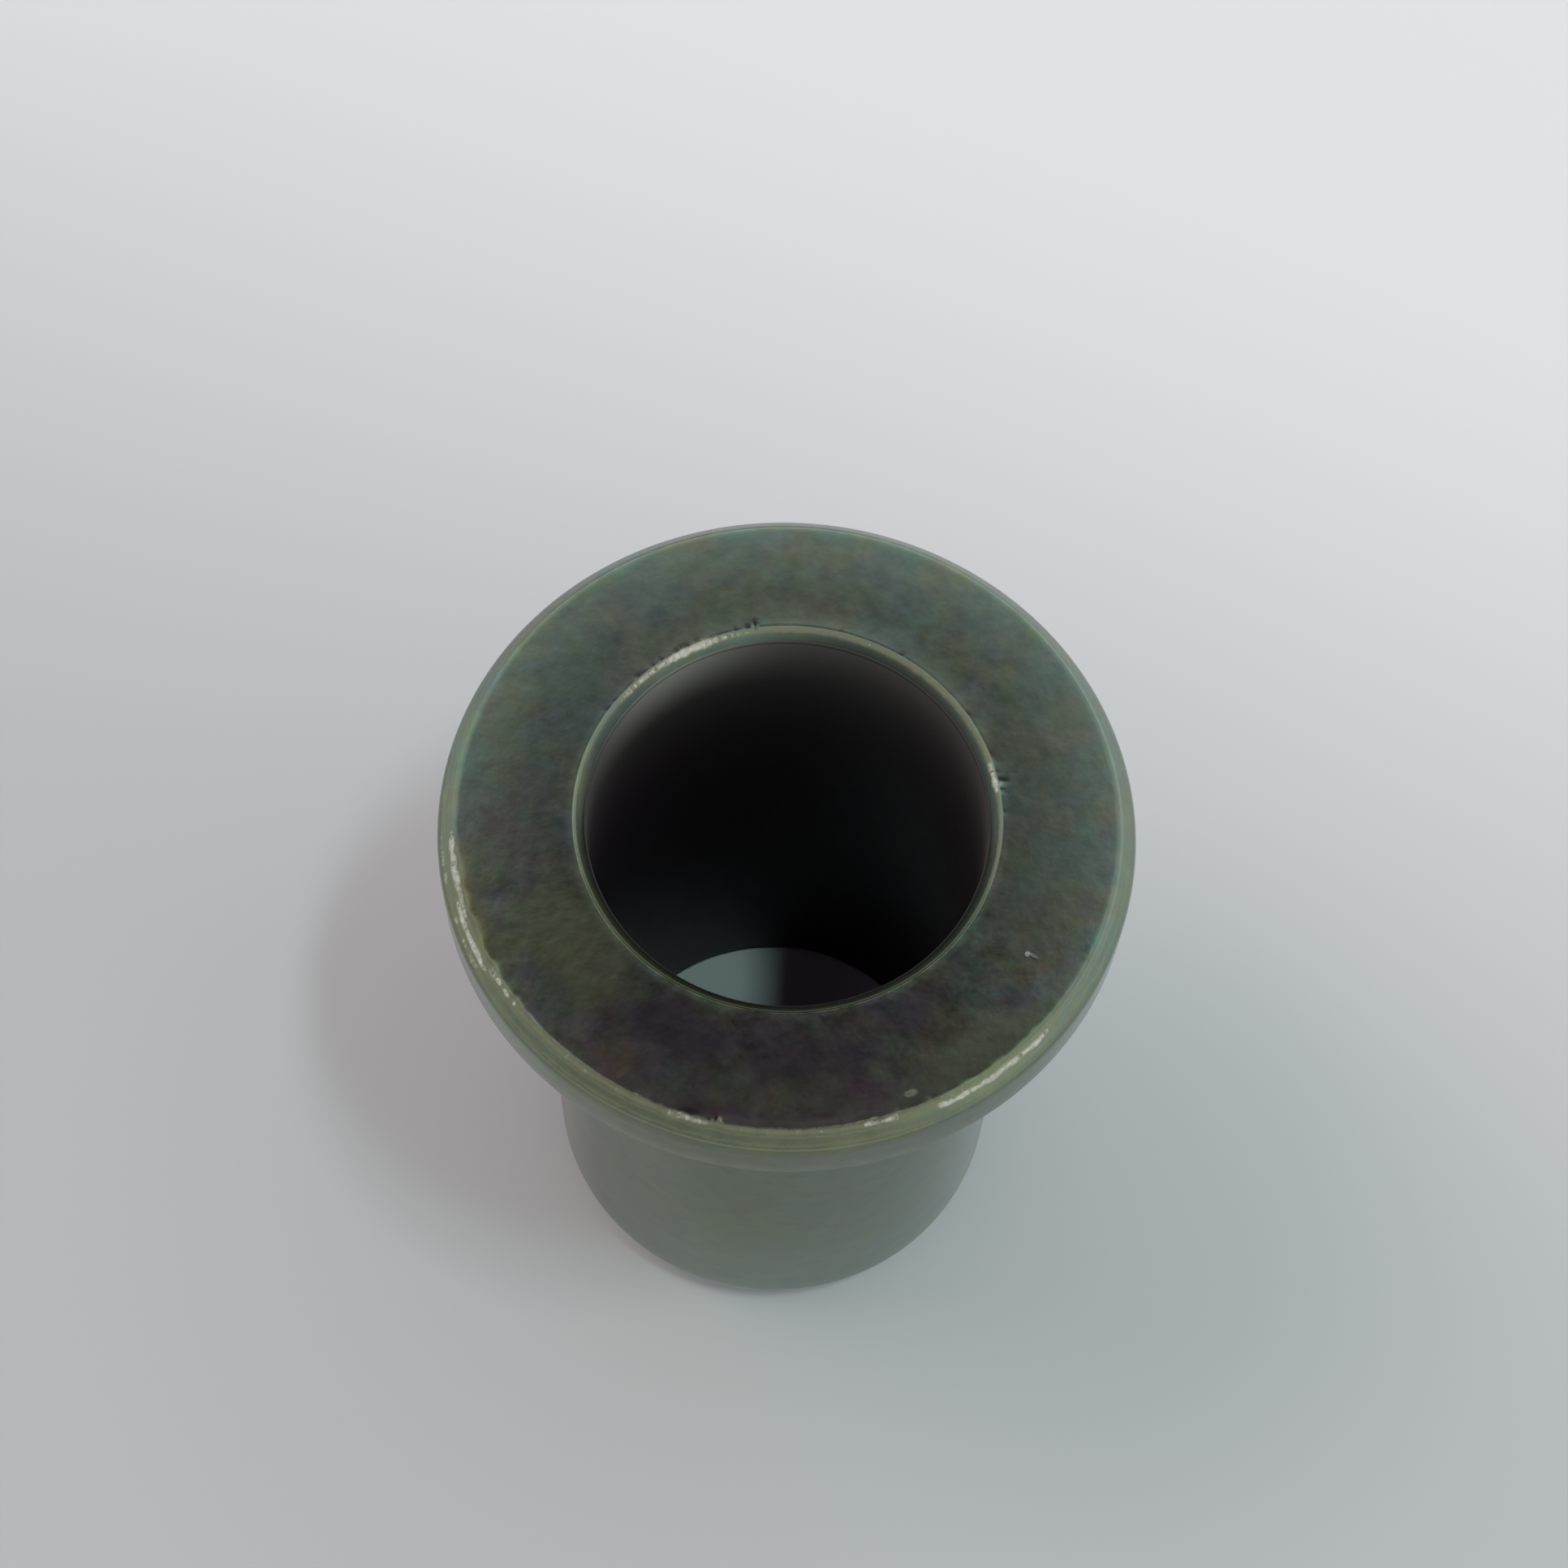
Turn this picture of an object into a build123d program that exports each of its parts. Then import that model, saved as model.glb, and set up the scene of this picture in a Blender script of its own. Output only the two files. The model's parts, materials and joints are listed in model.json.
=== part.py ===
"""Swingarm bushing: a turned steel sleeve with a flange at its upper end.

The origin is the centre of the barrel's lower end face, on which the bushing stands.
+Z runs up the turning axis, through the barrel to the flange. Lengths are in millimetres.
"""
from build123d import *
import os

# Bore: a running fit round the pivot bolt
pivot_bolt_diameter = 14.0
bore_running_clearance = 0.025      # between the bolt and the bore's wall
bore_mouth_chamfer = 0.45           # at 45 degrees, leads the bolt in from either end

# Barrel: pressed into the swingarm's tube, lower end first
barrel_wall = 1.975                 # makes the barrel 18 mm across
barrel_length = 25.75               # from the lower end up to the flange's seat
lead_in_depth = 0.65                # taken off the radius at the lower end
lead_in_length = 1.8                # up the barrel

# Flange: seats on the end of the swingarm's tube and takes the side load
flange_overhang = 3.2               # makes the flange 24.4 mm across
flange_thickness = 2.65
rim_chamfer_width = 0.6             # across the face
rim_chamfer_height = 0.65           # down the rim
rim_edge_break = 0.15               # 45 degree chamfer round the seat
root_fillet_radius = 0.3            # in the corner between barrel and seat

bore_radius = pivot_bolt_diameter / 2 + bore_running_clearance
barrel_radius = bore_radius + barrel_wall
flange_radius = barrel_radius + flange_overhang
overall_length = barrel_length + flange_thickness


def turned_edge(radius, height):
    """The circular edge nearest to the given radius, of those at the given height."""
    circles = bushing.edges().filter_by(GeomType.CIRCLE).group_by(Axis.Z)
    at_height = min(circles, key=lambda group: abs(group[0].center().Z - height))
    return min(at_height, key=lambda edge: abs(edge.radius - radius))


with BuildPart() as bushing:
    # Half of the lengthways section, turned once round the axis
    with BuildSketch(Plane.XZ):
        with BuildLine():
            Polyline(
                (bore_radius, 0),
                (barrel_radius, 0),
                (barrel_radius, barrel_length),
                (flange_radius, barrel_length),
                (flange_radius, overall_length),
                (bore_radius, overall_length),
                close=True,
            )
        make_face()
    revolve(axis=Axis.Z)

    # Long shallow taper that starts the barrel into its tube
    chamfer(
        turned_edge(barrel_radius, 0),
        length=lead_in_depth,
        length2=lead_in_length,
        reference=bushing.faces().sort_by(Axis.Z)[0],
    )

    # Flange: relieved round its face, broken round its seat, rounded into the barrel
    chamfer(
        turned_edge(flange_radius, overall_length),
        length=rim_chamfer_width,
        length2=rim_chamfer_height,
        reference=bushing.faces().sort_by(Axis.Z)[-1],
    )
    chamfer(turned_edge(flange_radius, barrel_length), length=rim_edge_break)
    fillet(turned_edge(barrel_radius, barrel_length), radius=root_fillet_radius)

    # Both mouths of the bore
    for mouth_height in (0, overall_length):
        chamfer(turned_edge(bore_radius, mouth_height), length=bore_mouth_chamfer)

bushing.part.label = "flanged_bushing"

os.makedirs("parts", exist_ok=True)
export_step(bushing.part, "parts/flanged_bushing.step")
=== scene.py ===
"""Looks of the swingarm bushing: a worn, dark-finished steel sleeve on pale paper.

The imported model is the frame. One lathe-turned mesh of the same form stands for its one node
and adds rounded edges and small knocks. Lengths are in millimetres unless a comment says
metres, and meshes are scaled to metres. Angles are in degrees, level ones from +X.
"""

import json
import math
import random

import bpy
from mathutils import Matrix, Vector, noise


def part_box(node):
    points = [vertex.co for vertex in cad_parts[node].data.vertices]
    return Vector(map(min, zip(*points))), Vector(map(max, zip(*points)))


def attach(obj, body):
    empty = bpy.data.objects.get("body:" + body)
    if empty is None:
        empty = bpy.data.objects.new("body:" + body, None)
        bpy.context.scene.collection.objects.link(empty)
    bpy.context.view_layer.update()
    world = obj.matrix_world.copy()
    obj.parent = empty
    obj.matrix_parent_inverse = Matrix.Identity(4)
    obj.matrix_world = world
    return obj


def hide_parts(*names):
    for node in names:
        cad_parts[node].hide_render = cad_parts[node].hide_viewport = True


NODE = "flanged_bushing"
MM = 0.001

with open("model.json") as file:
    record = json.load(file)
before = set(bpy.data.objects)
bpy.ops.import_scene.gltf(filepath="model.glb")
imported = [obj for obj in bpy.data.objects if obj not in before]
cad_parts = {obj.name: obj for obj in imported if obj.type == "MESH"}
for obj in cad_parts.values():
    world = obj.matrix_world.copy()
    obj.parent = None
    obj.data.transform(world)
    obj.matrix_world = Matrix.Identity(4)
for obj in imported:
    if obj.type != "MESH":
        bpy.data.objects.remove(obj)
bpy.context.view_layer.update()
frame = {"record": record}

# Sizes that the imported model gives
mounts = {mount["name"]: mount for mount in frame["record"]["mounts"]}
low_corner, high_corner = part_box(NODE)
BORE_RADIUS = mounts["pivot_bore"]["dims"]["r_mm"]
BARREL_RADIUS = mounts["barrel_press_fit"]["dims"]["r_mm"]
SEAT_HEIGHT = mounts["flange_seat"]["pos_m"][2] / MM
FLANGE_RADIUS = high_corner.x / MM
TOP = high_corner.z / MM

# Edge sizes of the turned form
MOUTH_CHAMFER = 0.45
LEAD_IN_DEPTH = 0.65
LEAD_IN_LENGTH = 1.8
RIM_CHAMFER_WIDTH = 0.6
RIM_CHAMFER_HEIGHT = 0.65
RIM_BREAK = 0.15
ROOT_FILLET = 0.3

RIM_EDGE_RADIUS = FLANGE_RADIUS - RIM_CHAMFER_WIDTH     # where face and rim chamfer meet
MOUTH_RADIUS = BORE_RADIUS + MOUTH_CHAMFER              # where face and mouth chamfer meet

# Mesh density
SEGMENTS = 900          # round the axis
ARC_STEPS = 4           # in each rounded corner of the section
FINEST_STEP = 0.06      # along the section's straight runs, at a worn edge
COARSEST_STEP = 2.0     # and far from one
STEP_GROWTH = 0.35      # how much longer a step is for each millimetre from a worn edge


# ---------------------------------------------------------------- form

def outline_corners():
    """The half section's corners, anticlockwise: radius, height and how far each is rounded."""
    return [
        (MOUTH_RADIUS, 0, 0.10),
        (BARREL_RADIUS - LEAD_IN_DEPTH, 0, 0.12),
        (BARREL_RADIUS, LEAD_IN_LENGTH, 1.2),
        (BARREL_RADIUS, SEAT_HEIGHT, ROOT_FILLET),
        (FLANGE_RADIUS - RIM_BREAK, SEAT_HEIGHT, 0.06),
        (FLANGE_RADIUS, SEAT_HEIGHT + RIM_BREAK, 0.12),
        (FLANGE_RADIUS, TOP - RIM_CHAMFER_HEIGHT, 0.5),
        (RIM_EDGE_RADIUS, TOP, 0.25),
        (MOUTH_RADIUS, TOP, 0.05),
        (BORE_RADIUS, TOP - MOUTH_CHAMFER, 0.08),
        (BORE_RADIUS, MOUTH_CHAMFER, 0.20),
    ]


def rounded_corner(before, corner, after, rounding):
    """Points on the arc that rounds a corner, from the side of before to that of after."""
    to_before = (before - corner).normalized()
    to_after = (after - corner).normalized()
    half_angle = to_before.angle(to_after) / 2
    bisector = (to_before + to_after).normalized()
    centre = corner + bisector * rounding / math.sin(half_angle)
    tangent = rounding / math.tan(half_angle)
    start = (corner + to_before * tangent - centre).normalized()
    end = (corner + to_after * tangent - centre).normalized()
    shares = [step / ARC_STEPS for step in range(ARC_STEPS + 1)]
    return [centre + rounding * start.slerp(end, share) for share in shares]


def edge_distance(point):
    """How far a point of the section is from the nearer of the two edges that wear."""
    rim_edge = Vector((RIM_EDGE_RADIUS, TOP))
    mouth_edge = Vector((MOUTH_RADIUS, TOP))
    return min((point - rim_edge).length, (point - mouth_edge).length)


def straight_run(start, end):
    """Points between two ends, close together near the worn edges and wide apart elsewhere."""
    length = (end - start).length
    direction = (end - start) / length
    places, travelled = [], 0.0
    while travelled < length:
        here = start + direction * travelled
        step = FINEST_STEP + STEP_GROWTH * edge_distance(here)
        travelled += min(step, COARSEST_STEP)
        places.append(travelled)
    scale = length / places[-1]
    return [start + direction * place * scale for place in places[:-1]]


def section_points():
    """The whole rounded half section as a closed list of (radius, height) points."""
    corners = outline_corners()
    count = len(corners)
    arcs = []
    for index, (radius, height, rounding) in enumerate(corners):
        before = Vector(corners[index - 1][:2])
        after = Vector(corners[(index + 1) % count][:2])
        arcs.append(rounded_corner(before, Vector((radius, height)), after, rounding))
    points = []
    for index, arc in enumerate(arcs):
        points += arc
        points += straight_run(arc[-1], arcs[(index + 1) % count][0])
    return points


def section_normals(points):
    """The outward normal at each point of the anticlockwise section."""
    count = len(points)
    normals = []
    for index in range(count):
        along = points[(index + 1) % count] - points[index - 1]
        normals.append(Vector((along.y, -along.x)).normalized())
    return normals


# Single knocks in the two edges: edge radius, angle, half width along the edge, reach across it,
# and depth
KNOCKS = [
    (RIM_EDGE_RADIUS, -103.5, 0.50, 0.26, 0.055),
    (RIM_EDGE_RADIUS, -99.2, 0.13, 0.20, 0.050),
    (RIM_EDGE_RADIUS, -155.5, 0.45, 0.22, 0.026),
    (RIM_EDGE_RADIUS, -166.5, 0.50, 0.18, 0.020),
    (MOUTH_RADIUS, 101.8, 0.10, 0.11, 0.045),
    (MOUTH_RADIUS, 12.6, 0.11, 0.14, 0.060),
    (MOUTH_RADIUS, 20.0, 0.30, 0.12, 0.020),
]
# Groups of small knocks: edge radius, first and last angle, how many, and how large
KNOCK_GROUPS = [
    (RIM_EDGE_RADIUS, -173, -147, 12, 0.16),
    (RIM_EDGE_RADIUS, -143, -106, 8, 0.14),
    (RIM_EDGE_RADIUS, -76, -40, 14, 0.15),
    (MOUTH_RADIUS, 100, 152, 16, 0.11),
    (MOUTH_RADIUS, -10, 90, 7, 0.10),
]
KNOCK_SEED = 11
# Least and most of a small knock's measures, as shares of its group's size
KNOCK_WIDTHS = (0.6, 1.5)
KNOCK_REACHES = (0.5, 0.9)
KNOCK_DEPTHS = (0.04, 0.12)
KNOCK_END = 3               # half widths along the edge past which a knock isn't felt
EROSION_DEPTH = 0.002       # how deep general wear eats into an edge at most
EROSION_REACH = 0.10        # how far from the edge it spreads
EROSION_SCALE = 1.6         # one over the size of its unevenness
WORN_ZONE = 0.4             # how far from the edges the mesh is worn at all


def small_knocks():
    """The knocks of every group, each with its own place, width, reach and depth."""
    chance = random.Random(KNOCK_SEED)
    knocks = []
    for edge_radius, first, last, count, size in KNOCK_GROUPS:
        for _ in range(count):
            angle = chance.uniform(first, last)
            width = size * chance.uniform(*KNOCK_WIDTHS)
            reach = size * chance.uniform(*KNOCK_REACHES)
            depth = size * chance.uniform(*KNOCK_DEPTHS)
            knocks.append((edge_radius, angle, width, reach, depth))
    return knocks


def falloff(distance, reach):
    """1 at a distance of nothing, fading smoothly to almost nothing at twice the reach."""
    return math.exp(-(distance / reach) ** 2)


def wear_depth(radius, height, angle, knocks):
    """How far wear and knocks have eaten into the surface at a point near the top."""
    place = Vector((radius * math.cos(angle), radius * math.sin(angle), height))
    unevenness = 0.5 + 0.5 * noise.noise(place * EROSION_SCALE)
    near_edge = falloff(edge_distance(Vector((radius, height))), EROSION_REACH)
    depth = EROSION_DEPTH * unevenness * near_edge
    for edge_radius, knock_angle, width, reach, knock_depth in knocks:
        turn = math.remainder(angle - math.radians(knock_angle), 2 * math.pi)
        along = abs(turn) * edge_radius
        if along < KNOCK_END * width:
            across = math.hypot(radius - edge_radius, height - TOP)
            depth += knock_depth * falloff(along, width) * falloff(across, reach)
    return depth


def turned_vertices(points, normals):
    """The section's points at every segment round the axis, pushed in where they are worn."""
    knocks = KNOCKS + small_knocks()
    wearing = [edge_distance(point) < WORN_ZONE for point in points]
    vertices = []
    for segment in range(SEGMENTS):
        angle = 2 * math.pi * segment / SEGMENTS
        for point, normal, worn in zip(points, normals, wearing):
            radius, height = point
            if worn:
                depth = wear_depth(radius, height, angle, knocks)
                radius -= normal.x * depth
                height -= normal.y * depth
            x, y = radius * math.cos(angle), radius * math.sin(angle)
            vertices.append((x * MM, y * MM, height * MM))
    return vertices


def turned_mesh():
    """The sleeve's mesh: the section swept round the axis, with its worn edges."""
    points = section_points()
    vertices = turned_vertices(points, section_normals(points))
    rows = len(points)
    faces = []
    for segment in range(SEGMENTS):
        here, there = segment * rows, (segment + 1) % SEGMENTS * rows
        for row in range(rows):
            above = (row + 1) % rows
            faces.append((here + row, there + row, there + above, here + above))
    mesh = bpy.data.meshes.new("worn_bushing")
    mesh.from_pydata(vertices, [], faces)
    mesh.shade_smooth()
    return mesh


# ---------------------------------------------------------------- nodes

class Graph:
    """Short calls for wiring the nodes of a material or of the sky."""

    def __init__(self, owner):
        owner.use_nodes = True
        self.tree = owner.node_tree
        self.tree.nodes.clear()

    def add(self, kind, **settings):
        node = self.tree.nodes.new(kind)
        for name, value in settings.items():
            setattr(node, name, value)
        return node

    def feed(self, socket, value):
        """Links an output to a socket, or sets the socket to a plain value."""
        if isinstance(value, bpy.types.NodeSocket):
            self.tree.links.new(value, socket)
        else:
            socket.default_value = value

    def math(self, operation, first, second=0.0):
        node = self.add("ShaderNodeMath", operation=operation)
        self.feed(node.inputs[0], first)
        self.feed(node.inputs[1], second)
        return node.outputs[0]

    def minus(self, first, second):
        return self.math("SUBTRACT", first, second)

    def greater(self, first, second):
        return self.math("MAXIMUM", first, second)

    def total(self, *values):
        result = values[0]
        for value in values[1:]:
            result = self.math("ADD", result, value)
        return result

    def times(self, *values):
        result = values[0]
        for value in values[1:]:
            result = self.math("MULTIPLY", result, value)
        return result

    def centred(self, noise_value):
        """A noise's value, moved to lie round 0."""
        return self.minus(noise_value, 0.5)

    def weighted(self, amounts, places):
        """The sum of the named places' shares, each times its amount."""
        return self.total(*(self.times(places[name], amounts[name]) for name in amounts))

    def smooth_step(self, value, start, end):
        """0 where value is at start, 1 where it is at end, eased between them."""
        node = self.add("ShaderNodeMapRange", interpolation_type="SMOOTHSTEP")
        self.feed(node.inputs["Value"], value)
        self.feed(node.inputs["From Min"], start)
        self.feed(node.inputs["From Max"], end)
        return node.outputs["Result"]

    def noise(self, place, scale, detail, roughness, output="Fac"):
        node = self.add("ShaderNodeTexNoise", noise_dimensions="3D")
        self.feed(node.inputs["Vector"], place)
        self.feed(node.inputs["Scale"], scale)
        self.feed(node.inputs["Detail"], detail)
        self.feed(node.inputs["Roughness"], roughness)
        return node.outputs[output]

    def vector_node(self, operation, first, second=(0, 0, 0)):
        node = self.add("ShaderNodeVectorMath", operation=operation)
        self.feed(node.inputs[0], first)
        self.feed(node.inputs[1], second)
        return node

    def vector(self, operation, first, second=(0, 0, 0)):
        return self.vector_node(operation, first, second).outputs[0]

    def dot(self, first, second):
        return self.vector_node("DOT_PRODUCT", first, second).outputs["Value"]

    def length(self, vector):
        return self.vector_node("LENGTH", vector).outputs["Value"]

    def scale(self, vector, factor):
        """A vector or colour times a plain factor."""
        node = self.add("ShaderNodeVectorMath", operation="SCALE")
        self.feed(node.inputs[0], vector)
        self.feed(node.inputs["Scale"], factor)
        return node.outputs[0]

    def parts(self, vector):
        node = self.add("ShaderNodeSeparateXYZ")
        self.feed(node.inputs[0], vector)
        return node.outputs

    def join(self, x, y, z):
        node = self.add("ShaderNodeCombineXYZ")
        for socket, value in zip(node.inputs, (x, y, z)):
            self.feed(socket, value)
        return node.outputs[0]

    def blend(self, share, first, second):
        """A mix of two colours."""
        node = self.add("ShaderNodeMix", data_type="RGBA")
        self.feed(node.inputs["Factor"], share)
        self.feed(node.inputs[6], first)
        self.feed(node.inputs[7], second)
        return node.outputs[2]

    def tint(self, share, colour, factors):
        """The colour with its red, green and blue multiplied by the factors, as far as share."""
        return self.blend(share, colour, self.vector("MULTIPLY", colour, factors))

    def place_in_mm(self):
        """The point being shaded, from the object's origin."""
        coordinates = self.add("ShaderNodeTexCoord")
        return self.scale(coordinates.outputs["Object"], 1 / MM)

    def show(self, shader, kind="ShaderNodeOutputMaterial"):
        """Makes the shader the one that shows."""
        output = self.add(kind)
        self.feed(output.inputs["Surface"], shader.outputs[0])


class PartGraph(Graph):
    """A graph that knows where on the part the point being shaded lies."""

    def __init__(self, material):
        super().__init__(material)
        self.place = self.place_in_mm()
        x, y, self.height = self.parts(self.place)
        level = self.join(x, y, 0.0)
        self.radius = self.length(level)
        self.outward = self.vector("NORMALIZE", level)

    def facing(self, angle):
        """1 on the side of the part that lies at the angle, -1 on the opposite side."""
        turn = math.radians(angle)
        return self.dot(self.outward, (math.cos(turn), math.sin(turn), 0))

    def side(self, angle, narrowness):
        """1 at the angle, fading to 0 at a right angle to it: the narrower, the faster."""
        return self.math("POWER", self.greater(self.facing(angle), 0.0), narrowness)

    def sideways(self, narrowness):
        """1 at the part's left and right, fading to 0 at its front and back."""
        return self.math("POWER", self.math("ABSOLUTE", self.facing(0)), narrowness)

    def facing_step(self, angle, start, end):
        """0 where facing the angle is at start, 1 where it is at end."""
        return self.smooth_step(self.facing(angle), start, end)

    def at_height(self, start, end):
        """0 at the height start, 1 at the height end."""
        return self.smooth_step(self.height, start, end)

    def ring_distance(self, ring_radius, ring_height, shift=0.0):
        """How far the point, shifted outward, is from a ring round the axis."""
        across = self.minus(self.total(self.radius, shift), ring_radius)
        up = self.minus(self.height, ring_height)
        return self.math("SQRT", self.total(self.times(across, across), self.times(up, up)))


# ---------------------------------------------------------------- the part's material

# A value whose name ends in NOISE is a noise's scale, detail and roughness. The scale is per
# millimetre on the part and per radian for the edges' wandering, and in the wear it multiplies
# the two STREAK values.

# Where an edge is worn: middle angle, spread to each side, how far the wear reaches from the
# edge, and how bare the steel is there
RIM_STRETCHES = [
    (-105, 88, 0.09, 0.15),
    (-167, 8, 0.13, 1.00),
    (-160, 5, 0.09, 0.80),
    (-143, 5, 0.08, 0.70),
    (-104, 6, 0.11, 0.60),
    (-72, 4, 0.08, 0.80),
]
LOW_RIM_STRETCHES = [
    (-154, 9, 0.12, 1.05),
    (-50, 16, 0.08, 0.75),
    (-59, 5, 0.09, 0.95),
    (-50, 6, 0.10, 1.15),
    (-43, 4, 0.09, 1.00),
]
CHAMFER_STRETCHES = [
    (-154, 9, 0.08, 0.45),
    (-169, 7, 0.07, 0.50),
]
MOUTH_STRETCHES = [
    (60, 85, 0.07, 0.12),
    (125, 26, 0.10, 0.75),
    (121, 10, 0.14, 1.15),
    (15, 7, 0.09, 0.90),
]
# Parts of the face's outer border where the finish is rubbed thin: angle, spread, reach and colour
RUBBED_BORDERS = [
    (-157, 14, 1.0, (0.222, 0.212, 0.088, 1)),
    (-45, 16, 1.2, (0.165, 0.225, 0.145, 1)),
    (-93, 24, 0.55, (0.330, 0.440, 0.280, 1)),
]
# Patches of the face whose finish has another hue: angle, radius, half length along, half width,
# strength, and the colour itself
FACE_STAINS = [
    ((-141, 8.9, 2.4, 1.3, 0.80), (0.200, 0.260, 0.135, 1)),
    ((-53, 11.0, 2.7, 0.9, 0.90), (0.220, 0.285, 0.175, 1)),
    ((-18, 9.4, 2.2, 1.6, 0.40), (0.145, 0.200, 0.128, 1)),
    ((-112, 8.9, 1.8, 0.9, 0.60), (0.100, 0.096, 0.124, 1)),
    ((-82, 9.2, 1.5, 0.8, 0.45), (0.116, 0.106, 0.140, 1)),
    ((-58, 8.5, 1.2, 0.6, 0.45), (0.120, 0.108, 0.132, 1)),
    ((-172, 9.8, 0.6, 1.2, 0.40), (0.170, 0.150, 0.150, 1)),
    ((148, 9.6, 1.0, 0.8, 0.40), (0.118, 0.175, 0.125, 1)),
    ((128, 9.9, 0.5, 1.1, 0.35), (0.165, 0.158, 0.145, 1)),
]
# Soft rubbed patches in the face: angle, radius, half length along, half width and strength
FACE_RUBS = [
    (-134, 8.6, 0.8, 0.7, 0.30),
    (-117, 10.1, 1.0, 0.45, 0.30),
    (-68, 8.2, 0.35, 0.28, 0.35),
    (-69.5, 10.8, 0.30, 0.22, 0.45),
    (-12, 9.4, 0.6, 0.6, 0.20),
]
# Small bright marks in the face: angle, radius, half length along, half width and strength
FACE_MARKS = [
    (-65.7, 11.08, 0.22, 0.12, 0.42),
    (-30.0, 9.68, 0.10, 0.08, 0.80),
    (-29.7, 9.86, 0.06, 0.20, 0.35),
]


STRETCH_CORE = 0.4      # share of a stretch's spread within which the wear is full


def stretch_fade(graph, angle, spread):
    """1 in the middle of a stretch of an edge, fading to 0 at its two ends."""
    end = math.cos(math.radians(spread))
    middle = math.cos(math.radians(spread * STRETCH_CORE))
    return graph.facing_step(angle, end, middle)


STREAK_TURNS = 40.0                 # how fast the wear's noise runs along an edge, per radian
STREAK_ACROSS = 4.5                 # and across it, per mm
RAGGED_NOISE = (0.5, 4.0, 0.65)
RAGGED_STEP = (0.30, 0.70)
RAGGED_REACH = (0.60, 0.75)         # share of the reach kept everywhere, and added by the noise
THIN_STEP = (-0.10, 0.08)           # soft end of the thin finish, in mm
FLECK_NOISE = (1.1, 4.5, 0.68)
FLECK_LEVEL = (0.70, -0.32)         # noise above which steel is bare, and its change with bareness
FLECK_STEP = (-0.06, 0.09)
BARE_REACH = 0.85                   # share of the thin finish's reach that bare steel may take
BARE_STEP = (-0.06, 0.06)           # soft end of the bare steel, in mm


def worn_edge(graph, distance, stretches):
    """Where the finish is worn thin, and where to bare steel, in streaks along an edge."""
    across = graph.join(0.0, 0.0, graph.times(distance, STREAK_ACROSS))
    along = graph.vector("ADD", graph.scale(graph.outward, STREAK_TURNS), across)
    ragged = graph.smooth_step(graph.noise(along, *RAGGED_NOISE), *RAGGED_STEP)
    flecks = graph.noise(along, *FLECK_NOISE)

    reach, bareness = 0.0, 0.0
    for angle, spread, most_reach, most_bareness in stretches:
        fade = stretch_fade(graph, angle, spread)
        reach = graph.greater(reach, graph.times(fade, most_reach))
        bareness = graph.greater(bareness, graph.times(fade, most_bareness))
    kept_share, ragged_share = RAGGED_REACH
    reach = graph.times(reach, graph.total(kept_share, graph.times(ragged, ragged_share)))
    thin = graph.smooth_step(graph.minus(reach, distance), *THIN_STEP)
    # The more bare the stretch, the more of the fleck pattern counts
    highest_level, level_change = FLECK_LEVEL
    level = graph.total(highest_level, graph.times(bareness, level_change))
    bare = graph.smooth_step(graph.minus(flecks, level), *FLECK_STEP)
    near = graph.smooth_step(graph.minus(graph.times(reach, BARE_REACH), distance), *BARE_STEP)
    return thin, graph.times(bare, near)


# Rings that the wear follows: radius, height, how far each wanders with the noise, its stretches
WORN_RINGS = [
    (RIM_EDGE_RADIUS + 0.10, TOP - 0.06, 0.35, RIM_STRETCHES),
    (RIM_EDGE_RADIUS + 0.21, TOP - 0.22, 0.35, LOW_RIM_STRETCHES),
    (FLANGE_RADIUS - 0.18, TOP - 0.455, -0.40, CHAMFER_STRETCHES),
    (MOUTH_RADIUS - 0.11, TOP - 0.11, 0.0, MOUTH_STRETCHES),
]
WANDER_NOISE = (14.0, 3.0, 0.6)
OVAL_END = 2.6      # where an oval has faded away, as a squared distance in its half sizes


def face_oval(graph, angle, radius, half_length, half_width, strength):
    """A soft oval on the flange's face, its length along the turning direction."""
    turn = math.radians(angle)
    outward = Vector((math.cos(turn), math.sin(turn), 0))
    along = Vector((-math.sin(turn), math.cos(turn), 0))
    up = Vector((0, 0, 1))
    offset = graph.vector("SUBTRACT", graph.place, outward * radius + up * TOP)
    squares = []
    for axis, half_size in ((along, half_length), (outward, half_width), (up, half_length)):
        squares.append(graph.math("POWER", graph.dot(offset, axis / half_size), 2.0))
    inside = graph.smooth_step(graph.total(*squares), OVAL_END, 0.0)
    return graph.times(inside, inside, strength)


def worn_places(graph):
    """Where wear has thinned the finish, and where wear and marks have bared the steel."""
    wander = graph.centred(graph.noise(graph.outward, *WANDER_NOISE))
    thin, bare = 0.0, 0.0
    for ring_radius, ring_height, wandering, stretches in WORN_RINGS:
        shift = graph.times(wander, wandering)
        distance = graph.ring_distance(ring_radius, ring_height, shift)
        thin_here, bare_here = worn_edge(graph, distance, stretches)
        thin = graph.greater(thin, thin_here)
        bare = graph.greater(bare, bare_here)
    for mark in FACE_MARKS:
        bare = graph.greater(bare, face_oval(graph, *mark))
    return thin, bare


# The sound finish's colours, and how they drift over the part
GREY_GREEN = (0.145, 0.171, 0.132, 1)
TEAL = (0.124, 0.172, 0.150, 1)
BROWN = (0.146, 0.160, 0.106, 1)
BROAD_NOISE = (0.42, 4.0, 0.6)
TEAL_STEP = (0.42, 0.60)
BROWN_SHADE_HALF = (-105, -0.2, 0.9)       # browner, darker half: own tone and painted shade
BROWN_SHADE_AMOUNT = 0.45
HUE_NOISE = (0.85, 3.0, 0.55)
HUE_DRIFT = {"everywhere": 0.24, "face": 0.16, "face_front": 0.40}
PATCH_NOISE = (0.80, 5.0, 0.65)
BLOTCH_NOISE = (1.3, 6.0, 0.68)
SPECKLE_NOISE = (5.0, 2.0, 0.5)

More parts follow.
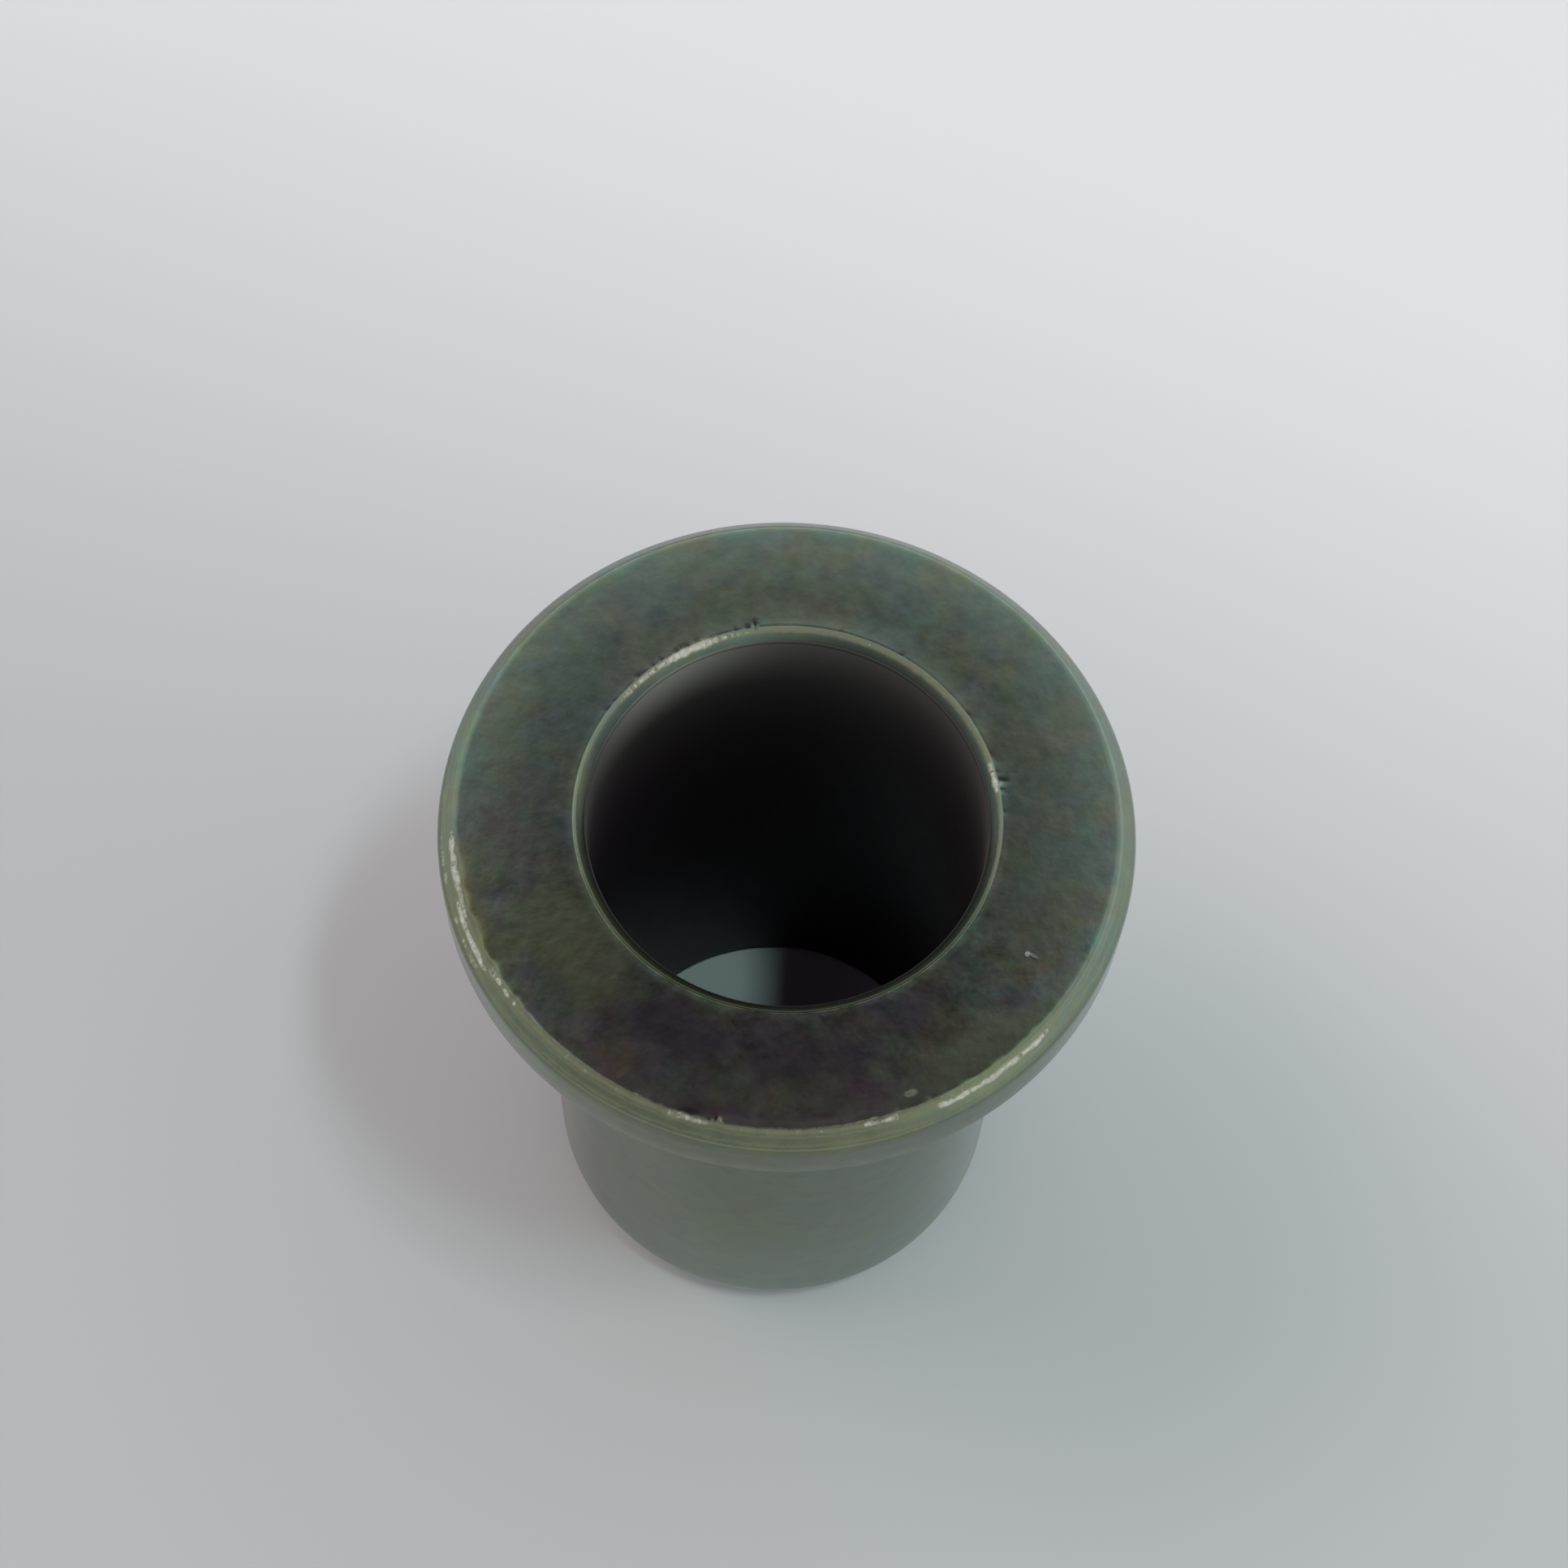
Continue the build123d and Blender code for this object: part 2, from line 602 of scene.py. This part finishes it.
# Sides of the part that differ from the rest: middle angle and narrowness
SIDES = {
    "back": (80, 1.0),
    "middle_back": (80, 4.0),
    "back_left": (120, 1.0),
    "far_left": (172, 16.0),
    "front_left": (-125, 4.0),
    "foremost": (-95, 2.0),
    "front_right": (-80, 2.0),
    "right": (35, 8.0),
}
LEFT_AND_RIGHT = 2.0                # narrowness of these two sides together
# Halves of the part that differ: middle angle, and how much they face it where the difference
# sets in and where it is full
FRONT_HALF = (-90, -0.2, 0.8)
YELLOW_HALF = (-125, 0.1, 0.9)
BARREL_FRONT_HALF = (-90, -0.1, 0.5)
BARREL_BACK_HALF = (90, -0.1, 0.5)
LEFT_HALF = (-128, 0.6, 0.95)
# Heights between which one zone passes into the next
ONTO_FACE = (TOP - 0.03, TOP - 0.002)
ONTO_RIM = (TOP - 1.1, TOP - 0.6)
BELOW_CHAMFER = (TOP - 0.6, TOP - 1.1)
BELOW_FLANGE = (SEAT_HEIGHT + 0.1, SEAT_HEIGHT - 0.1)
LOWER_HALF = (13.0, 4.0)
ABOVE_FOOT = (4.0, 10.0)
LOWEST_PART = (7.5, 3.5)
FOOT = (3.0, 0.2)
# Radii between which the face grows lighter towards its border, and how steeply
BORDER = (MOUTH_RADIUS - 2.0, RIM_EDGE_RADIUS + 0.4)
BORDER_POWER = 3.0
# Edges that painted light and shade, rubbing and dulling follow: radius and height
RIM_LINE = (RIM_EDGE_RADIUS + 0.10, TOP - 0.06)
LOWER_RIM_LINE = (FLANGE_RADIUS - 0.03, TOP - RIM_CHAMFER_HEIGHT - 0.05)
MOUTH_EDGE = (MOUTH_RADIUS, TOP)
# Distances from an edge between which it starts to count and counts in full
RIM_EDGE = (0.6, 0.1)
CHAMFER_FOOT = (0.18, 0.07)
MOUTH_LINE = (0.12, 0.03)
MOUTH_BORDER = (0.35, 0.04)
MOUTH_SURROUNDINGS = (1.1, 0.05)

# How much lighter or, below 0, darker the finish is made in each place, as a share of its colour.
# The mottling and speckles are the finish's own tone; the other places are mostly painted light
# and shade, set to how the lamps and sky fall on the part's sides, edges, creases and foot
LIGHTNESS_AND_PAINTED_LIGHT = {
    "everywhere": 0.87,
    "mottling": 0.55,
    "mottling_face": 0.40,
    "mottling_face_front": 0.90,
    "speckles_face_front": 0.45,
    "face": -0.06,
    "face_border": 0.64,
    "face_front": 0.08,
    "face_right": -0.10,
    "face_rim_edge": 0.15,
    # painted shade at the mouth's front edge, painted light round its other sides
    "mouth_front": -0.40,
    "mouth_back": 0.40,
    "mouth_not_front": 0.22,
    "off_face": 0.10,
    "off_face_front_left": -0.13,
    "off_face_back_left": -0.50,
    "off_face_left_and_right": 0.28,
    "off_face_low_front_right": 0.38,
    # a painted highlight in the crease at the rim chamfer's foot
    "rim_chamfer_foot": 0.36,
    "rim_back": 0.18,
    "rim_far_left": 0.28,
    # painted light at the barrel's foot, most at the front
    "foot": 0.40,
    "foot_front": 0.60,
}
# By how much the finish's red, green and blue are multiplied in each place
TINTS = {
    "rim_front_left": (1.04, 0.965, 0.90),          # yellower
    "barrel_front": (0.97, 1.02, 0.96),             # greener
    "back_below_rim": (1.10, 0.97, 1.03),           # greyer
    "lowest_front_right": (1.08, 1.12, 1.22),       # bluer
    "left_below_chamfer": (0.98, 0.96, 0.81),       # yellower
}


def finish_places(graph, blotches, rim, mouth):
    """The places that the three tables name, as shares from 0 to 1.

    Mottling and speckles lie round 0 instead, so they lighten some spots and darken others.
    """
    side = {name: graph.side(*values) for name, values in SIDES.items()}
    left_and_right = graph.sideways(LEFT_AND_RIGHT)
    on_face = graph.at_height(*ONTO_FACE)
    # The mottling is stronger in the face's front than elsewhere
    front = graph.times(graph.facing_step(*FRONT_HALF), on_face)
    border = graph.math("POWER", graph.smooth_step(graph.radius, *BORDER), BORDER_POWER)
    off_face = graph.minus(1.0, on_face)
    on_rim = graph.times(off_face, graph.at_height(*ONTO_RIM))
    below_rim = graph.minus(off_face, on_rim)
    below_chamfer = graph.at_height(*BELOW_CHAMFER)
    below_flange = graph.at_height(*BELOW_FLANGE)
    above_foot = graph.at_height(*ABOVE_FOOT)
    foot = graph.at_height(*FOOT)
    barrel_front = graph.facing_step(*BARREL_FRONT_HALF)
    left_half = graph.facing_step(*LEFT_HALF)
    low_front_right = graph.times(side["front_right"], graph.at_height(*LOWER_HALF))
    mottling = graph.centred(blotches)
    speckles = graph.centred(graph.noise(graph.place, *SPECKLE_NOISE))
    lower_rim = graph.ring_distance(*LOWER_RIM_LINE)
    not_front = graph.minus(1.0, side["foremost"])
    return {
        "everywhere": 1.0,
        "mottling": mottling,
        "mottling_face": graph.times(mottling, on_face),
        "mottling_face_front": graph.times(mottling, front),
        "speckles_face_front": graph.times(front, speckles),
        "face": on_face,
        "face_border": graph.times(on_face, border),
        "face_front": front,
        "face_right": graph.times(on_face, side["right"]),
        "face_rim_edge": graph.times(on_face, graph.smooth_step(rim, *RIM_EDGE)),
        "mouth_front": graph.times(graph.smooth_step(mouth, *MOUTH_LINE), side["foremost"]),
        "mouth_back": graph.times(graph.smooth_step(mouth, *MOUTH_SURROUNDINGS), side["back"]),
        "mouth_not_front": graph.times(graph.smooth_step(mouth, *MOUTH_BORDER), not_front),
        "off_face": off_face,
        "off_face_front_left": graph.times(off_face, side["front_left"]),
        "off_face_back_left": graph.times(off_face, side["back_left"]),
        "off_face_left_and_right": graph.times(off_face, left_and_right),
        "off_face_low_front_right": graph.times(off_face, low_front_right),
        "rim_chamfer_foot": graph.smooth_step(lower_rim, *CHAMFER_FOOT),
        "rim_back": graph.times(on_rim, side["middle_back"]),
        "rim_far_left": graph.times(on_rim, side["far_left"]),
        "rim_front_left": graph.times(on_rim, graph.facing_step(*YELLOW_HALF)),
        "foot": foot,
        "foot_front": graph.times(foot, side["foremost"]),
        "barrel_front": graph.times(below_flange, above_foot, barrel_front),
        "back_below_rim": graph.times(below_rim, graph.facing_step(*BARREL_BACK_HALF)),
        "lowest_front_right": graph.times(side["front_right"], graph.at_height(*LOWEST_PART)),
        "left_below_chamfer": graph.times(below_chamfer, above_foot, left_half),
    }


def drifting_hue(graph, colour, amount):
    """The colour with its red, green and blue drifting apart from place to place."""
    drift = graph.noise(graph.place, *HUE_NOISE, output="Color")
    centred = graph.vector("SUBTRACT", drift, (0.5, 0.5, 0.5))
    factors = graph.vector("ADD", graph.scale(centred, amount), (1, 1, 1))
    return graph.vector("MULTIPLY", colour, factors)


def finish_with_painted_light(graph, places):
    """Colour of the sound finish: a mottled grey green, with painted light and shade by place,
    lighter near most edges.
    """
    broad = graph.noise(graph.place, *BROAD_NOISE)
    finish = graph.blend(graph.smooth_step(broad, *TEAL_STEP), GREY_GREEN, TEAL)
    # the front half's browner tone, partly painted shade
    brown_shade = graph.facing_step(*BROWN_SHADE_HALF)
    finish = graph.blend(graph.times(brown_shade, BROWN_SHADE_AMOUNT), finish, BROWN)
    finish = drifting_hue(graph, finish, graph.weighted(HUE_DRIFT, places))
    # painted light and shade by place, over the mottling's own tone
    finish = graph.scale(finish, graph.weighted(LIGHTNESS_AND_PAINTED_LIGHT, places))
    for name, factors in TINTS.items():
        finish = graph.tint(places[name], finish, factors)
    return finish


RUBBED_FINISH = (0.215, 0.235, 0.175, 1)
BORDER_FULL = 0.2       # distance from the rim's edge at which a rubbed border is full
STAIN_BASE = 0.5        # added to the blotches in a stain's share
RUB_BASE = 0.3          # and in a rubbed patch's


def patched_face(graph, finish, on_face, rim, patches, blotches):
    """The finish with the stains, rubbed borders and rubbed patches of the flange's face."""
    for oval, colour in FACE_STAINS:
        share = graph.times(face_oval(graph, *oval), graph.total(STAIN_BASE, blotches))
        finish = graph.blend(share, finish, colour)
    for angle, spread, reach, colour in RUBBED_BORDERS:
        fade = stretch_fade(graph, angle, spread)
        near_rim = graph.smooth_step(rim, reach, BORDER_FULL)
        finish = graph.blend(graph.times(fade, on_face, near_rim, patches), finish, colour)
    for rub in FACE_RUBS:
        share = graph.times(face_oval(graph, *rub), graph.total(RUB_BASE, blotches))
        finish = graph.blend(share, finish, RUBBED_FINISH)
    return finish


# The bore's wall, by the depth below the face: rub and painted light up top, painted shade below
RUBBED_LIT_BORE = (0.34, 0.34, 0.31)
BLACK_BORE = (0.017, 0.011, 0.016)
LIT_RUB_ALL_ROUND = 0.35                # how strong the rub and painted light are at the top, all round
LIT_RUB_HALVING = 2.2                   # depth at which it has halved
LIT_RUB_PATCH_SIDE = (129, 10.0)        # where it is stronger: middle angle and narrowness
LIT_RUB_PATCH_DEPTHS = (3.6, 0.4)
LIT_RUB_PATCH = 0.75
PALER_SIDES = 4.0                   # narrowness of the black wall's left and right, paler with painted light


def bore_wall(graph):
    """Colour of the bore's wall: rubbed, with painted light, near its mouth, mostly at the back
    left, and black below, with painted shade growing with depth.
    """
    depth = graph.minus(TOP, graph.height)
    # The rub and painted light all round halve at its depth, and fade on below as painted shade
    share = graph.times(depth, 1 / LIT_RUB_HALVING)
    all_round = graph.math("DIVIDE", LIT_RUB_ALL_ROUND, graph.total(1.0, graph.times(share, share)))
    fading = graph.smooth_step(depth, *LIT_RUB_PATCH_DEPTHS)
    lit_rub_patch = graph.times(graph.side(*LIT_RUB_PATCH_SIDE), fading, LIT_RUB_PATCH)
    rubbed_and_lit = graph.scale(RUBBED_LIT_BORE, graph.total(all_round, lit_rub_patch))
    # painted light on the black wall's left and right
    black = graph.scale(BLACK_BORE, graph.total(1.0, graph.sideways(PALER_SIDES)))
    return graph.vector("ADD", rubbed_and_lit, black)


# Radii between which the face passes into the mouth's chamfer, and that into the bore
INTO_MOUTH = (MOUTH_RADIUS + 0.02, MOUTH_RADIUS - 0.10)
INTO_BORE = (BORE_RADIUS + 0.08, BORE_RADIUS + 0.01)
RUBBED_LIT_SIDE = (118, 8.0)            # the mouth's side with rub and painted light: angle, narrowness
# Painted shade in the mouth's chamfer: the finish's lightness there, as a share of the face's, by
# place, lighter on the rubbed side with painted light
MOUTH_SHADE = {"everywhere": 0.19, "upper": 0.45, "rubbed_and_lit": 0.70}
# A painted shade line in the crease at the chamfer's foot: how far it reaches, by place, how
# near it is full, and how much darker it is
PAINTED_SHADE_LINE_REACH = {"everywhere": 0.16, "rubbed_and_lit": -0.07}
PAINTED_SHADE_LINE_FULL = 0.045
PAINTED_SHADE_LINE = -0.55


def darkened_inside(graph, finish, in_mouth, in_bore):
    """The finish, kept darker with painted shade in the mouth's chamfer and in a line along its
    foot, and the bore's own wall below it.
    """
    up_mouth = graph.at_height(TOP - MOUTH_CHAMFER, TOP)
    places = {
        "everywhere": 1.0,
        "upper": graph.times(up_mouth, up_mouth),
        "rubbed_and_lit": graph.side(*RUBBED_LIT_SIDE),
    }
    # painted shade in the mouth's chamfer, lighter on its rubbed and lit side
    shaded = graph.scale(finish, graph.weighted(MOUTH_SHADE, places))
    finish = graph.blend(in_mouth, finish, shaded)
    finish = graph.blend(in_bore, finish, bore_wall(graph))
    mouth_foot = graph.ring_distance(BORE_RADIUS, TOP - MOUTH_CHAMFER)
    line_reach = graph.weighted(PAINTED_SHADE_LINE_REACH, places)
    # painted shade in the crease at the chamfer's foot
    painted_shade_line = graph.smooth_step(mouth_foot, line_reach, PAINTED_SHADE_LINE_FULL)
    return graph.scale(finish, graph.total(1.0, graph.times(painted_shade_line, PAINTED_SHADE_LINE)))


THIN_FINISH = (0.212, 0.211, 0.140, 1)
THIN_AMOUNT = 0.9                   # share of the worn stretches' colour that is the thin finish's
BARE_STEEL = (0.52, 0.52, 0.465)
SCRATCH_NOISE = (6.0, 2.0, 0.6)
SCRATCHED = (0.35, 1.20)            # bare steel's least lightness, and what the noise adds
DULL_EDGE = (0.35, 0.05)            # distances from an edge where dulling sets in and is full
METALLIC = 0.96
DULL_BORE = 0.60                    # how much less metallic the dull skin of the bore is
DULL_MOUTH = 0.36                   # and of its mouth's chamfer
SPECULAR_LEVEL = 0.35
ROUGHNESS = {"everywhere": 0.13, "patches": 0.08, "bore": 0.30, "edges": 0.05, "worn": 0.25}
GRAIN_NOISE = (8.0, 3.0, 0.6)
GRAIN = (0.18, 2.4)                 # the grain's height everywhere, and more where worn
RIPPLE_NOISE = (1.2, 2.0, 0.5)
RIPPLE = 1.2                        # height of the broad ripples, in the grain's measure
BUMP_STRENGTH = 0.3
BUMP_HEIGHT = 0.02                  # what one unit of those heights stands for


def worn_colour(graph, finish, thin, bare):
    """The finish with its thin stretches and bare, scratched steel over it."""
    scratches = graph.noise(graph.place, *SCRATCH_NOISE)
    least, more = SCRATCHED
    steel = graph.scale(BARE_STEEL, graph.total(least, graph.times(scratches, more)))
    colour = graph.blend(graph.times(thin, THIN_AMOUNT), finish, THIN_FINISH)
    return graph.blend(bare, colour, steel)


def surface_bump(graph, worn):
    """Normals of a fine grain, coarser where worn, over broad ripples."""
    everywhere, where_worn = GRAIN
    grain_height = graph.total(everywhere, graph.times(worn, where_worn))
    relief = graph.total(
        graph.times(graph.noise(graph.place, *GRAIN_NOISE), grain_height),
        graph.times(graph.noise(graph.place, *RIPPLE_NOISE), RIPPLE),
    )
    bump = graph.add("ShaderNodeBump")
    bump.inputs["Strength"].default_value = BUMP_STRENGTH
    bump.inputs["Distance"].default_value = BUMP_HEIGHT * MM
    graph.feed(bump.inputs["Height"], relief)
    return bump.outputs[0]


def dark_steel():
    """Dark satin conversion finish, mottled, worn thin and in flecks to bare steel at its edges."""
    # light and shade are painted into this colour by place: round the edges, in the mouth and down
    # the bore
    material = bpy.data.materials.new("dark_steel")
    graph = PartGraph(material)
    rim = graph.ring_distance(*RIM_LINE)
    mouth = graph.ring_distance(*MOUTH_EDGE)
    patches = graph.noise(graph.place, *PATCH_NOISE)
    blotches = graph.noise(graph.place, *BLOTCH_NOISE)

    places = finish_places(graph, blotches, rim, mouth)
    finish = finish_with_painted_light(graph, places)
    finish = patched_face(graph, finish, places["face"], rim, patches, blotches)
    in_mouth = graph.smooth_step(graph.radius, *INTO_MOUTH)
    in_bore = graph.smooth_step(graph.radius, *INTO_BORE)
    finish = darkened_inside(graph, finish, in_mouth, in_bore)
    thin, bare = worn_places(graph)
    worn = graph.greater(thin, bare)

    shader = graph.add("ShaderNodeBsdfPrincipled")
    graph.feed(shader.inputs["Base Color"], worn_colour(graph, finish, thin, bare))
    dull_skin = graph.greater(graph.times(in_bore, DULL_BORE), graph.times(in_mouth, DULL_MOUTH))
    graph.feed(shader.inputs["Metallic"], graph.minus(METALLIC, dull_skin))
    shader.inputs["Specular IOR Level"].default_value = SPECULAR_LEVEL
    dull_places = {
        "everywhere": 1.0,
        "patches": patches,
        "bore": in_bore,
        "edges": graph.greater(
            graph.smooth_step(rim, *DULL_EDGE), graph.smooth_step(mouth, *DULL_EDGE)
        ),
        "worn": worn,
    }
    graph.feed(shader.inputs["Roughness"], graph.weighted(ROUGHNESS, dull_places))
    graph.feed(shader.inputs["Normal"], surface_bump(graph, worn))
    graph.show(shader)
    return material


# ---------------------------------------------------------------- the paper's material

# The paper's colour near the part, and with painted light towards the back right and far off
PAPER_NEAR = (0.462, 0.458, 0.492, 1)
PAPER_LIT_BACK = (0.735, 0.700, 0.765, 1)
PAPER_LIT_FAR_OFF = (0.92, 0.93, 0.94, 1)
TO_LIT_BACK = (0.342, 0.940, 0)         # level direction in which painted light brightens the paper
LIT_BACK_STEP = (-6.0, 60.0)            # distances that way between which it does
LIT_FAR_STEP = (60.0, 200.0)            # distances from the part between which it is far off
PAPER_ROUGHNESS = 0.85
PAPER_SPECULAR_LEVEL = 0.2


def paper():
    """Pale paper, with painted light: brighter towards the back right and far away from the part.
    """
    material = bpy.data.materials.new("pale_paper")
    graph = Graph(material)
    place = graph.place_in_mm()
    share = graph.smooth_step(graph.dot(place, TO_LIT_BACK), *LIT_BACK_STEP)
    colour = graph.blend(share, PAPER_NEAR, PAPER_LIT_BACK)
    lit_far_off = graph.smooth_step(graph.length(place), *LIT_FAR_STEP)
    colour = graph.blend(lit_far_off, colour, PAPER_LIT_FAR_OFF)
    shader = graph.add("ShaderNodeBsdfPrincipled")
    graph.feed(shader.inputs["Base Color"], colour)
    shader.inputs["Roughness"].default_value = PAPER_ROUGHNESS
    shader.inputs["Specular IOR Level"].default_value = PAPER_SPECULAR_LEVEL
    graph.show(shader)
    return material


# ---------------------------------------------------------------- pieces and stage

def add_object(name, data):
    thing = bpy.data.objects.new(name, data)
    bpy.context.scene.collection.objects.link(thing)
    return thing


def make_bushing():
    bushing = add_object("worn_bushing", turned_mesh())
    bushing.data.materials.append(dark_steel())
    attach(bushing, "root")
    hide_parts(NODE)


FLOOR_HALF_WIDTH = 3.0      # metres


def make_floor():
    half = FLOOR_HALF_WIDTH
    corners = [(-half, -half, 0), (half, -half, 0), (half, half, 0), (-half, half, 0)]
    mesh = bpy.data.meshes.new("paper_floor")
    mesh.from_pydata(corners, [], [(0, 1, 2, 3)])
    floor = add_object("paper_floor", mesh)
    floor.data.materials.append(paper())
    floor.location.z = low_corner.z


def direction(azimuth, elevation):
    """Level angle from +X and height above the horizon, as a unit vector."""
    turn, rise = math.radians(azimuth), math.radians(elevation)
    level = math.cos(rise)
    return Vector((math.cos(turn) * level, math.sin(turn) * level, math.sin(rise)))


LAMP_DISTANCE = 0.6         # metres
GLOW_CENTRE = (-33, 72)     # azimuth and elevation of the ceiling tube and of its glow in the sky
GLOW_RADIUS = 9             # degrees


def make_lamp(name, azimuth, elevation, width, length, share, colour):
    """An area lamp, in metres, its length along Y, that adds its share to a level white surface."""
    towards = direction(azimuth, elevation)
    light = bpy.data.lights.new(name, "AREA")
    light.shape = "RECTANGLE"
    light.size, light.size_y = width, length
    light.energy = share * math.pi ** 2 * LAMP_DISTANCE ** 2 / towards.z
    light.color = colour
    lamp = add_object(name, light)
    lamp.visible_glossy = False     # the sky's glow stands for it in reflections
    across = Vector((0, 1, 0)).cross(towards).normalized()
    along = towards.cross(across)
    turned = Matrix((across, along, towards)).transposed().to_4x4()
    lamp.matrix_world = Matrix.Translation(towards * LAMP_DISTANCE) @ turned


# The sky, by the parts x, y and z of a direction
SKY_COLOUR = (0.71, 0.73, 0.71)
DIM_COLOUR = (0.062, 0.015, 0.062, 1)
GLOW_COLOUR = (1.0, 1.1, 1.0, 1)
# The dim part overhead: how far its centre lies towards +X, how much narrower it is along X than
# along Y, and the distances from its centre between which it sets in
DIM_SHIFT = -0.016
DIM_NARROWNESS = 1.9
DIM_STEP = (0.580, 0.372)
# The bright part low down: between which z it starts, and how much brighter it is, by place
LOW_STEP = (0.75, 0.45)
LOW_BRIGHTNESS = {"everywhere": 0.40, "back": 0.40, "right": 0.20}


def make_sky():
    """Light tent: bright all round, dim overhead, and brighter low down at the back."""
    world = bpy.data.worlds.new("light_tent")
    bpy.context.scene.world = world
    graph = Graph(world)
    towards = graph.add("ShaderNodeTexCoord").outputs["Generated"]
    x, y, z = graph.parts(towards)
    aside = graph.times(graph.minus(x, DIM_SHIFT), DIM_NARROWNESS)
    off_centre = graph.math("SQRT", graph.total(graph.times(aside, aside), graph.times(y, y)))
    overhead = graph.smooth_step(off_centre, *DIM_STEP)
    low = graph.smooth_step(z, *LOW_STEP)
    extra = graph.weighted(LOW_BRIGHTNESS, {"everywhere": 1.0, "back": y, "right": x})
    ring = graph.scale(SKY_COLOUR, graph.total(1.0, graph.times(low, extra)))
    colour = graph.blend(overhead, ring, DIM_COLOUR)
    closeness = graph.dot(towards, direction(*GLOW_CENTRE))
    glow = graph.smooth_step(closeness, math.cos(math.radians(GLOW_RADIUS)), 1.0)
    background = graph.add("ShaderNodeBackground")
    graph.feed(background.inputs["Color"], graph.blend(glow, colour, GLOW_COLOUR))
    graph.show(background, "ShaderNodeOutputWorld")


# The camera looks from the front and well above
CAMERA_AZIMUTH = -90
CAMERA_ELEVATION = 64.1
CAMERA_DISTANCE = 104.46    # from the centre of the flange's face
CAMERA_AIM = (-0.19, 1.12)  # where on the flange's face it looks
CAMERA_ROLL = 2.84
SENSOR_WIDTH = 36.0
LENS = 69.1
CLIP_START = 0.005          # metres


def make_camera():
    face_centre = Vector((0, 0, TOP))
    place = face_centre + CAMERA_DISTANCE * direction(CAMERA_AZIMUTH, CAMERA_ELEVATION)
    aim = face_centre + Vector((*CAMERA_AIM, 0))
    data = bpy.data.cameras.new("camera")
    data.sensor_width = SENSOR_WIDTH
    data.lens = LENS
    data.clip_start = CLIP_START
    camera = add_object("camera", data)
    look = (aim - place).to_track_quat("-Z", "Y").to_matrix().to_4x4()
    roll = Matrix.Rotation(math.radians(CAMERA_ROLL), 4, "Z")
    camera.matrix_world = Matrix.Translation(place * MM) @ look @ roll
    bpy.context.scene.camera = camera


make_bushing()
make_floor()
make_sky()
make_lamp(
    "ceiling_tube", *GLOW_CENTRE, width=0.035, length=0.10, share=0.24, colour=(0.68, 1.0, 0.89)
)
make_lamp(
    "window", azimuth=170, elevation=60, width=0.22, length=0.22, share=0.15,
    colour=(1.0, 0.78, 0.62)
)
make_camera()
bpy.context.scene.view_settings.view_transform = "Standard"
